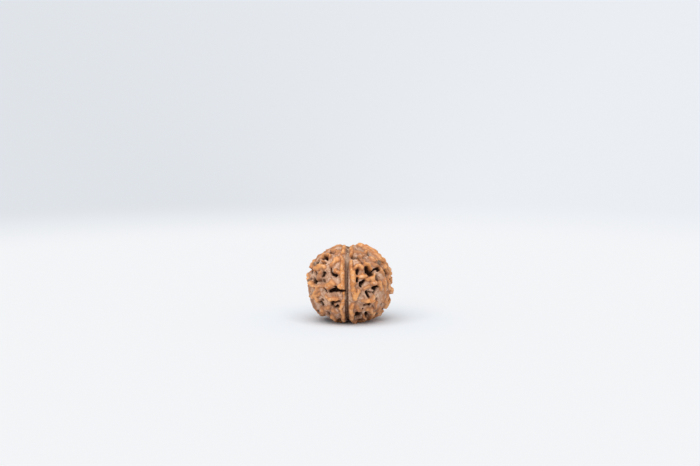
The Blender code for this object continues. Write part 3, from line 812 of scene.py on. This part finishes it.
# %% Tree: inputs
SIZES = (
    ("Faces along a side", "Int", 124),
    ("Across radius", "Float", ACROSS_RADIUS),
    ("Upright radius", "Float", 8.45),
    ("Lopsided", "Float", 0.30),
    ("Fullness", "Float", 0.045),
    ("Fuller below", "Float", 0.035),
    ("Ridge fuse", "Float", 0.75),
    ("Ridge dome", "Float", 0.9),
    ("Ridge skirt", "Float", 0.75),
    ("Pit fuse", "Float", 0.35),
    ("Pit dome", "Float", 0.70),
    ("Pit skirt", "Float", 2.5),
    ("Groove half width", "Float", 0.50),
    ("Groove depth", "Float", 0.45),
    ("Seam shift", "Float", 0.20),
    ("Seam half width", "Float", 0.14),
    ("Dimple radius", "Float", 1.6),
    ("Dimple depth", "Float", 0.5),
    ("Fray", "Float", 0.045),
    ("Wrinkle height", "Float", 0.36),
    ("Grain height", "Float", 0.10),
    ("Seed", "Float", 3.0),
    ("Fray scale", "Float", 16.0),
    ("Wrinkle scale", "Float", 13.0),
    ("Grain scale", "Float", 55.0),
    ("Swell rounds", "Int", 14),
    ("Hole sides", "Int", 48),
    ("Rod length", "Float", 40.0),
    ("Hole radius", "Float", 0.9),
    ("Foot level", "Float", -8.85),
    ("Box low", "Vector", tuple(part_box("rudraksha_bead")[0])),
    ("Box high", "Vector", tuple(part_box("rudraksha_bead")[1])),
    ("Ridge guides", "Object", ridge_guide),
    ("Pit guides", "Object", pit_guide),
    ("Groove guides", "Object", groove_guide),
)
bead_tree, size_of, given = new_group(
    "Rudraksha bead", [(label, kind) for label, kind, _ in SIZES] + [("Wood", "Material")]
)

# %% Tree: the ball and its pattern
def guide_points(label):
    made = add_node(bead_tree, "GeometryNodeObjectInfo", transform_space="ORIGINAL")
    return wired(bead_tree, made, Object=size_of[label])["Geometry"]


def seeded_noise(tree, way, scale, detail, roughness=0.5):
    """Outputs of a noise node that the tree's seed fixes, with values around 0.5."""
    made = add_node(tree, "ShaderNodeTexNoise", noise_dimensions="4D")
    seed = size_of["Seed"]
    return wired(tree, made, Vector=way, W=seed, Scale=scale, Detail=detail, Roughness=roughness)


def uneven_height(tree, way, name, detail):
    """Bumps up and down, with the scale and the height that the tree's inputs give."""
    noise = seeded_noise(tree, way, size_of[name + " scale"], detail)["Fac"]
    return number(tree, "MULTIPLY", number(tree, "SUBTRACT", noise, 0.5), size_of[name + " height"])


def frayed(tree, way):
    """The same way, shifted by fine noise, so that no rim looks drawn."""
    noise = seeded_noise(tree, way, size_of["Fray scale"], 3.0, 0.6)["Color"]
    push = scaled(tree, vector(tree, "SUBTRACT", noise, (0.5, 0.5, 0.5)), size_of["Fray"])
    return vector(tree, "NORMALIZE", vector(tree, "ADD", way, push))


t = bead_tree
side = number(t, "ADD", size_of["Faces along a side"], 1.0)
cube = add_node(t, "GeometryNodeMeshCube")
cube = wired(t, cube, Size=(2.0, 2.0, 2.0), Vertices_X=side, Vertices_Y=side, Vertices_Z=side)["Mesh"]
corner_place = add_node(t, "GeometryNodeInputPosition").outputs[0]
even = vector(t, "TANGENT", scaled(t, corner_place, math.pi / 4.0))
ball = store(t, cube, "way", vector(t, "NORMALIZE", even), "FLOAT_VECTOR")
wavered = wavered_way(t, read(t, "way", "FLOAT_VECTOR"))
ball = store(t, ball, "wavered", frayed(t, wavered), "FLOAT_VECTOR")
for kind in ("Ridge", "Pit"):
    ball = call_group(
        t,
        bars_group,
        Geometry=ball,
        Guides=guide_points(kind + " guides"),
        Name=kind.lower(),
        Radius=size_of["Across radius"],
        Dome=size_of[kind + " dome"],
        Skirt=size_of[kind + " skirt"],
        Fuse=size_of[kind + " fuse"],
    )
ball = call_group(
    t,
    grooves_group,
    Geometry=ball,
    Guides=guide_points("Groove guides"),
    Radius=size_of["Across radius"],
    Half_width=size_of["Groove half width"],
    Depth=size_of["Groove depth"],
    Seam_shift=size_of["Seam shift"],
    Seam_half_width=size_of["Seam half width"],
    Dome=size_of["Pit dome"],
    Skirt=size_of["Pit skirt"],
    Fuse=size_of["Pit fuse"],
)

# %% Tree: relief, and the body it stands on
def moved(tree, geometry, place):
    made = add_node(tree, "GeometryNodeSetPosition")
    return wired(tree, made, Geometry=geometry, Position=place)["Geometry"]


way = read(t, "way", "FLOAT_VECTOR")
wavered = read(t, "wavered", "FLOAT_VECTOR")
east, north, up = parts_of(t, way)
off_axis = vector(t, "LENGTH", joined(t, east, north, 0.0))
from_axis = number(t, "MULTIPLY", off_axis, size_of["Across radius"])
bowl_share = number(t, "DIVIDE", from_axis, size_of["Dimple radius"])
bowl = number(t, "SUBTRACT", 1.0, number(t, "MULTIPLY", bowl_share, bowl_share))
dimple = number(t, "MULTIPLY", size_of["Dimple depth"], bowl)
sunk = number(t, "SMOOTH_MAX", read(t, "pit"), read(t, "groove"), size_of["Pit fuse"])
sunk = number(t, "SMOOTH_MAX", sunk, dimple, size_of["Pit fuse"])
wrinkle = uneven_height(t, wavered, "Wrinkle", 3.0)
grain = uneven_height(t, way, "Grain", 2.0)
height = number(t, "ADD", read(t, "ridge"), lump_height(t, wavered))
height = number(t, "SUBTRACT", height, sunk)
height = number(t, "ADD", height, number(t, "ADD", wrinkle, grain))
ball = store(t, ball, "relief", height)

# The belt is a quarter at its most, half way up, so four times it is a share
up_squared = number(t, "MULTIPLY", up, up)
belt = number(t, "MULTIPLY", up_squared, number(t, "SUBTRACT", 1.0, up_squared))
fuller = number(t, "SUBTRACT", size_of["Fullness"], number(t, "MULTIPLY", size_of["Fuller below"], up))
full = number(t, "MULTIPLY_ADD", number(t, "MULTIPLY", fuller, 4.0), belt, 1.0)
radius = number(t, "MULTIPLY_ADD", size_of["Lopsided"], east, size_of["Across radius"])
across = number(t, "MULTIPLY", radius, full)
upright = number(t, "MULTIPLY", size_of["Upright radius"], full)
body = vector(t, "MULTIPLY", way, joined(t, across, across, upright))
stretch = number(t, "DIVIDE", read(t, "relief"), vector(t, "LENGTH", body))
lifted = moved(t, ball, scaled(t, body, number(t, "ADD", stretch, 1.0)))

# %% [markdown]
# The photograph's crests are worn, and the material paints shade into the hollows. The tree compares each
# point's relief with the average around it: the difference, kept as "swell", is positive on a crest and
# negative in a crease, and it stays on the bead when the tree is gone.

# %% Tree: crests and creases, hole, foot and box
def blurred(tree, value, rounds):
    made = add_node(tree, "GeometryNodeBlurAttribute", data_type="FLOAT")
    return wired(tree, made, Value=value, Iterations=rounds)["Value"]


around = blurred(t, read(t, "relief"), size_of["Swell rounds"])
bead = store(t, lifted, "swell", number(t, "SUBTRACT", read(t, "relief"), around))

rod = wired(
    t,
    add_node(t, "GeometryNodeMeshCylinder", fill_type="NGON"),
    Vertices=size_of["Hole sides"],
    Radius=size_of["Hole radius"],
    Depth=size_of["Rod length"],
)["Mesh"]
bore = add_node(t, "GeometryNodeMeshBoolean", operation="DIFFERENCE", solver="EXACT")
bored = wired(t, bore, Mesh_1=bead, Mesh_2=rod)["Mesh"]

place = add_node(t, "GeometryNodeInputPosition").outputs[0]
place_x, place_y, place_z = parts_of(t, place)
level_z = number(t, "MAXIMUM", place_z, size_of["Foot level"])
stood = moved(t, bored, joined(t, place_x, place_y, level_z))

own_box = wired(t, add_node(t, "GeometryNodeBoundBox"), Geometry=stood)
own_low, own_high = own_box["Min"], own_box["Max"]
span = vector(t, "SUBTRACT", own_high, own_low)
share = vector(t, "DIVIDE", vector(t, "SUBTRACT", place, own_low), span)
wanted = vector(t, "SUBTRACT", size_of["Box high"], size_of["Box low"])
fitted = moved(t, stood, vector(t, "MULTIPLY_ADD", share, wanted, size_of["Box low"]))

# %% Tree: last steps
smooth = wired(t, add_node(t, "GeometryNodeSetShadeSmooth"), Geometry=fitted)["Geometry"]
real = wired(t, add_node(t, "GeometryNodeRealizeInstances"), Geometry=smooth)["Geometry"]
finished = wired(t, add_node(t, "GeometryNodeSetMaterial"), Geometry=real, Material=size_of["Wood"])
feed(t, given["Geometry"], finished["Geometry"])
print("bead tree:", len(t.nodes), "nodes")

# %% [markdown]
# ## The finish: oiled wood
# Handling polishes the crests to a warm orange tan, while the valleys keep a paler, pinkish skin that also
# carries a painted sheen, and dirt and painted shade turn the pits nearly black. Painted highlights fleck
# the crests and valleys, painted shade darkens the flanks, the creases and the foot, and the groove is
# painted lighter at its top and darker low down. Besides the height above the foot, three things drive the
# colour: the levels that the tree stored, the swell, and noise at several scales. The two finest also give
# the surface its bump.

# %% Shader helpers
# A mix node has its sockets several times over; these are the places of those for colours.
MIX_SHARE, MIX_FIRST, MIX_SECOND, MIX_RESULT = 0, 6, 7, 2


def ramp(tree, value, low, high):
    """0 at low, 1 at high, eased at both ends; low may be the larger of the two."""
    made = add_node(tree, "ShaderNodeMapRange", interpolation_type="SMOOTHSTEP")
    return wired(tree, made, Value=value, From_Min=low, From_Max=high)["Result"]


def mixed(tree, share, first, second):
    made = add_node(tree, "ShaderNodeMix", data_type="RGBA", blend_type="MIX")
    feed(tree, made.inputs[MIX_SHARE], share)
    feed(tree, made.inputs[MIX_FIRST], first)
    feed(tree, made.inputs[MIX_SECOND], second)
    return made.outputs[MIX_RESULT]


def shader_noise(tree, scale, detail, roughness=0.5):
    made = add_node(tree, "ShaderNodeTexNoise")
    place = add_node(tree, "ShaderNodeTexCoord").outputs["Object"]
    return wired(tree, made, Vector=place, Scale=scale, Detail=detail, Roughness=roughness)["Fac"]


def stored(tree, name):
    return add_node(tree, "ShaderNodeAttribute", attribute_name=name).outputs["Fac"]


# %% Oiled wood: colours
CREST = (0.89, 0.405, 0.138, 1.0)
CREST_DEEP = (0.66, 0.245, 0.072, 1.0)
CREST_HIGHLIGHT = (0.90, 0.590, 0.390, 1.0)
FLANK_TONE_AND_SHADE = (0.48, 0.205, 0.092, 1.0)
VALLEY_SKIN_AND_SHEEN = (0.74, 0.450, 0.295, 1.0)
VALLEY_DARK = (0.45, 0.235, 0.140, 1.0)
VALLEY_DUST_AND_HIGHLIGHT = (0.84, 0.615, 0.470, 1.0)
VALLEY_BROWN = (0.33, 0.155, 0.088, 1.0)
PAINTED_SHADE = (0.17, 0.070, 0.038, 1.0)
GROOVE_PALE_AND_PAINTED_LIGHT = (0.62, 0.445, 0.325, 1.0)
GROOVE_FLOOR = (0.235, 0.135, 0.085, 1.0)
GROOVE_PAINTED_SHADE = (0.11, 0.055, 0.033, 1.0)
SEAM = (0.045, 0.022, 0.014, 1.0)
PIT_DIRT_AND_SHADE = (0.030, 0.012, 0.008, 1.0)
PIT_FLAKE = (0.30, 0.180, 0.120, 1.0)

# %% Oiled wood: where each colour shows
# Noise scales, in waves to a metre
BROAD, SOFT, MIDDLING, PATCHY, SPECKLED, FINE, FINEST = 330.0, 620.0, 900.0, 1250.0, 1700.0, 2600.0, 9000.0
# Each pair is the level at which a layer starts and the one at which it is full
BLOTCHES = (0.42, 0.64)
FLANK_LEVELS = (0.05, 0.45)
CREST_LEVELS = (0.30, 0.90)
WORN_LEVELS = (0.28, 0.72)
GROOVE_LEVELS = (0.04, 0.30)
# The same in metres above the foot
GROOVE_SHADE_HEIGHTS = (0.0110, 0.0015)
GROOVE_LIT_HEIGHTS = (0.0130, 0.0162)
SEAM_HEIGHTS = (0.0160, 0.0115)
# How far noise moves a level up and down
RIDGE_STRAY, GROOVE_SHADE_STRAY, GROOVE_LIT_STRAY, SEAM_STRAY, PIT_STRAY = 0.7, 0.9, 0.6, 1.2, 0.8
# Layers that stay partly clear have their greatest share as a third number
VALLEY_DUST_AND_HIGHLIGHT_SPECKS = (0.50, 0.62, 0.75)
VALLEY_PATCHES = (0.52, 0.64, 0.70)
CREST_HIGHLIGHT_SPECKS = (0.52, 0.64, 0.60)
GROOVE_SPECKS = (0.54, 0.66, 0.45)
SEAM_LEVELS = (0.25, 0.75, 0.9)
CREASE_SHADE_DEPTHS = (0.02, 0.34, 0.85)
FLAKES = (0.56, 0.70, 0.55)
PIT_LEVELS = (0.08, 0.80, 0.97)
FOOT_SHADE_HEIGHTS = (0.0060, 0.0005, 0.22)

# %% Oiled wood: pattern
wood = bpy.data.materials.new("seed_wood_oiled")
wood.use_nodes = True
w = wood.node_tree
shader = w.nodes["Principled BSDF"]
ridge_level, pit_level, groove_level = stored(w, "ridge"), stored(w, "pit"), stored(w, "groove")
broad, soft = shader_noise(w, BROAD, 2.0), shader_noise(w, SOFT, 2.0)
middling = shader_noise(w, MIDDLING, 3.0)
patchy = shader_noise(w, PATCHY, 3.0, roughness=0.6)
speckled = shader_noise(w, SPECKLED, 3.0, roughness=0.6)
fine = shader_noise(w, FINE, 4.0, roughness=0.6)
finest = shader_noise(w, FINEST, 3.0, roughness=0.6)
height_z = parts_of(w, add_node(w, "ShaderNodeTexCoord").outputs["Object"])[2]


def shifted_by(level, noise, size):
    """A level made uneven by noise around 0.5."""
    return number(w, "MULTIPLY_ADD", number(w, "SUBTRACT", noise, 0.5), size, level)


def share_of(value, low, high, most):
    """A ramp that ends at a share below 1."""
    return number(w, "MULTIPLY", ramp(w, value, low, high), most)


uneven = shifted_by(ridge_level, middling, RIDGE_STRAY)
# The valley colour is partly the wood's pinkish skin and partly painted sheen, the soft reflection of the
# pale surroundings on a satin surface.
valley = mixed(w, ramp(w, broad, *BLOTCHES), VALLEY_SKIN_AND_SHEEN, VALLEY_DARK)
# Pale flecks in the valleys: dust, and painted highlight.
valley = mixed(w, share_of(speckled, *VALLEY_DUST_AND_HIGHLIGHT_SPECKS), valley, VALLEY_DUST_AND_HIGHLIGHT)
valley = mixed(w, share_of(patchy, *VALLEY_PATCHES), valley, VALLEY_BROWN)
crest = mixed(w, ramp(w, soft, *BLOTCHES), CREST, CREST_DEEP)
# Painted highlight: pale cream flecks on the crests.
crest = mixed(w, share_of(speckled, *CREST_HIGHLIGHT_SPECKS), crest, CREST_HIGHLIGHT)
# The ridge flanks turn a darker orange brown: the wood's own tone, deepened by painted shade below the
# crests.
colour = mixed(w, ramp(w, uneven, *FLANK_LEVELS), valley, FLANK_TONE_AND_SHADE)
colour = mixed(w, ramp(w, uneven, *CREST_LEVELS), colour, crest)

# Painted shade: the groove darkens toward the bottom.
lower = shifted_by(ramp(w, height_z, *GROOVE_SHADE_HEIGHTS), middling, GROOVE_SHADE_STRAY)
groove_colour = mixed(w, lower, GROOVE_FLOOR, GROOVE_PAINTED_SHADE)
# Painted light: the groove grows paler toward its top, where light from above falls on it. The same pale
# tone also flecks the groove at random.
upper = shifted_by(ramp(w, height_z, *GROOVE_LIT_HEIGHTS), fine, GROOVE_LIT_STRAY)
groove_colour = mixed(w, upper, groove_colour, GROOVE_PALE_AND_PAINTED_LIGHT)
groove_colour = mixed(w, share_of(speckled, *GROOVE_SPECKS), groove_colour, GROOVE_PALE_AND_PAINTED_LIGHT)
seam = number(w, "MULTIPLY", stored(w, "seam"), ramp(w, height_z, *SEAM_HEIGHTS))
seam_share = share_of(shifted_by(seam, fine, SEAM_STRAY), *SEAM_LEVELS)
groove_colour = mixed(w, seam_share, groove_colour, SEAM)
colour = mixed(w, ramp(w, groove_level, *GROOVE_LEVELS), colour, groove_colour)

# Painted shade: creases, where the swell is below zero, darken toward a dark brown.
crease = number(w, "MULTIPLY", stored(w, "swell"), -1.0)
colour = mixed(w, share_of(crease, *CREASE_SHADE_DEPTHS), colour, PAINTED_SHADE)
# The pits turn nearly black with dirt and painted shade; a few pale flakes lie in them.
pit_dirt_and_shade = mixed(w, share_of(fine, *FLAKES), PIT_DIRT_AND_SHADE, PIT_FLAKE)
pit_dirt_and_shade_share = share_of(shifted_by(pit_level, fine, PIT_STRAY), *PIT_LEVELS)
colour = mixed(w, pit_dirt_and_shade_share, colour, pit_dirt_and_shade)
# Painted shade: the whole bead darkens a little toward its foot, in the same dark brown as the creases.
colour = mixed(w, share_of(height_z, *FOOT_SHADE_HEIGHTS), colour, PAINTED_SHADE)
feed(w, shader.inputs["Base Color"], colour)

# %% Oiled wood: gloss and bump
DRY_GLOSS, WORN_GLOSS_MORE = 0.20, 0.26
ROUGH, WORN_ROUGH_LESS, ROUGH_NOISE = 0.54, -0.16, 0.25
BUMP_STRENGTH, BUMP_METRES, FINEST_BUMP_SHARE = 0.6, 0.00007, 0.5

polish = ramp(w, uneven, *WORN_LEVELS)
gloss = number(w, "MULTIPLY_ADD", polish, WORN_GLOSS_MORE, DRY_GLOSS)
outside_pits = number(w, "SUBTRACT", 1.0, pit_dirt_and_shade_share)
feed(w, shader.inputs["Specular IOR Level"], number(w, "MULTIPLY", gloss, outside_pits))
worn = number(w, "MULTIPLY_ADD", polish, WORN_ROUGH_LESS, ROUGH)
feed(w, shader.inputs["Roughness"], shifted_by(worn, fine, ROUGH_NOISE))

height = number(w, "ADD", fine, number(w, "MULTIPLY", finest, FINEST_BUMP_SHARE))
bump = wired(w, add_node(w, "ShaderNodeBump"), Strength=BUMP_STRENGTH, Distance=BUMP_METRES, Height=height)
feed(w, shader.inputs["Normal"], bump["Normal"])
print("wood material:", len(w.nodes), "nodes")

# %% [markdown]
# ## Growing the bead
# The modifier gets every size by its socket's identifier, and only then is the object evaluated. The
# result is copied to a plain mesh. The guides and the modifier have done their work and go.

# %% Grow
host = bpy.data.objects.new("bead_host", bpy.data.meshes.new("bead_host"))
bpy.context.scene.collection.objects.link(host)
grower = host.modifiers.new("rudraksha bead", "NODES")
grower.node_group = bead_tree
tree_inputs = [item for item in bead_tree.interface.items_tree if item.in_out == "INPUT"]
sockets = {item.name: item.identifier for item in tree_inputs}
for label, _, value in SIZES:
    grower[sockets[label]] = value
grower[sockets["Wood"]] = wood

evaluated = host.evaluated_get(bpy.context.evaluated_depsgraph_get())
bead_mesh = bpy.data.meshes.new_from_object(evaluated)
for helper in (host, ridge_guide, pit_guide, groove_guide):
    bpy.data.objects.remove(helper)
bead_mesh.name = "rudraksha_seed"
seed_bead = bpy.data.objects.new("rudraksha_seed", bead_mesh)
bpy.context.scene.collection.objects.link(seed_bead)
print("bead:", len(bead_mesh.vertices), "points,", len(bead_mesh.loop_triangles), "triangles")

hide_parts("rudraksha_bead")
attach(seed_bead, "root")

# %% [markdown]
# ## Floor and light
# The bead lies on a pale surface in soft, bright light from above. One very wide disc fills the
# picture from every side, so there is no back wall to hide the bead from behind. A sky of one pale
# colour fills the shade, and a broad sun from the front, a little to the left, gives the soft shadow.

# %% Floor
NEAR_FLOOR = (0.893, 0.903, 0.922, 1.0)
PAINTED_COOL_BESIDE_FLOOR = (0.850, 0.900, 0.955, 1.0)
SHADED_DISTANT_LEFT = (0.735, 0.765, 0.805, 1.0)
SHADED_DISTANT_RIGHT = (0.825, 0.850, 0.890, 1.0)
FLOOR_RADIUS, FLOOR_SIDES, FLOOR_ROUGHNESS = 30.0, 64, 0.9
# Metres from the bead at which one tone starts and at which it is full
DISTANT_REACH = (0.15, 0.27)
BESIDE_REACH = (0.034, 0.009)
# Sines of the bearings between which the distance turns from its left tone to its right one
DISTANT_BEARINGS = (-0.25, 0.20)

floor_mesh = bpy.data.meshes.new("floor")
bearings = [math.tau * i / FLOOR_SIDES for i in range(FLOOR_SIDES)]
floor_ring = [(FLOOR_RADIUS * math.cos(b), FLOOR_RADIUS * math.sin(b), 0.0) for b in bearings]
floor_mesh.from_pydata(floor_ring, [], [list(range(FLOOR_SIDES))])
floor = bpy.data.objects.new("floor", floor_mesh)
bpy.context.scene.collection.objects.link(floor)
pale = bpy.data.materials.new("pale_floor")
pale.use_nodes = True
p = pale.node_tree
place = add_node(p, "ShaderNodeTexCoord").outputs["Object"]
reach = vector(p, "LENGTH", place)
bearing = number(p, "DIVIDE", parts_of(p, place)[0], reach)
# Painted shade: far from the bead the floor darkens, more on the left, as the studio light falls off.
distant = mixed(p, ramp(p, bearing, *DISTANT_BEARINGS), SHADED_DISTANT_LEFT, SHADED_DISTANT_RIGHT)
# Painted shade: near the bead the floor turns cooler and a little darker, which cancels the warm light that
# the bead bounces onto it.
near = mixed(p, ramp(p, reach, *BESIDE_REACH), NEAR_FLOOR, PAINTED_COOL_BESIDE_FLOOR)
floor_shader = p.nodes["Principled BSDF"]
floor_tone = mixed(p, ramp(p, reach, *DISTANT_REACH), near, distant)
feed(p, floor_shader.inputs["Base Color"], floor_tone)
floor_shader.inputs["Roughness"].default_value = FLOOR_ROUGHNESS
floor_shader.inputs["Specular IOR Level"].default_value = 0.0
floor_mesh.materials.append(pale)

# %% Light
SKY_COLOUR = (0.96, 0.98, 1.0, 1.0)
SKY_STRENGTH = 0.42
SUN_COLOUR = (1.0, 0.99, 0.98)
SUN_STRENGTH = 2.15
SUN_WIDTH = 75.0
SUN_TURN = (28.0, -7.0, 0.0)

world = bpy.data.worlds.new("pale sky")
world.use_nodes = True
sky = world.node_tree.nodes["Background"]
sky.inputs["Color"].default_value = SKY_COLOUR
sky.inputs["Strength"].default_value = SKY_STRENGTH
bpy.context.scene.world = world

sun = bpy.data.objects.new("soft sun", bpy.data.lights.new("soft sun", "SUN"))
sun.data.energy = SUN_STRENGTH
sun.data.angle = math.radians(SUN_WIDTH)
sun.data.color = SUN_COLOUR
sun.rotation_euler = [math.radians(angle) for angle in SUN_TURN]
bpy.context.scene.collection.objects.link(sun)
bpy.context.scene.view_settings.view_transform = "Standard"
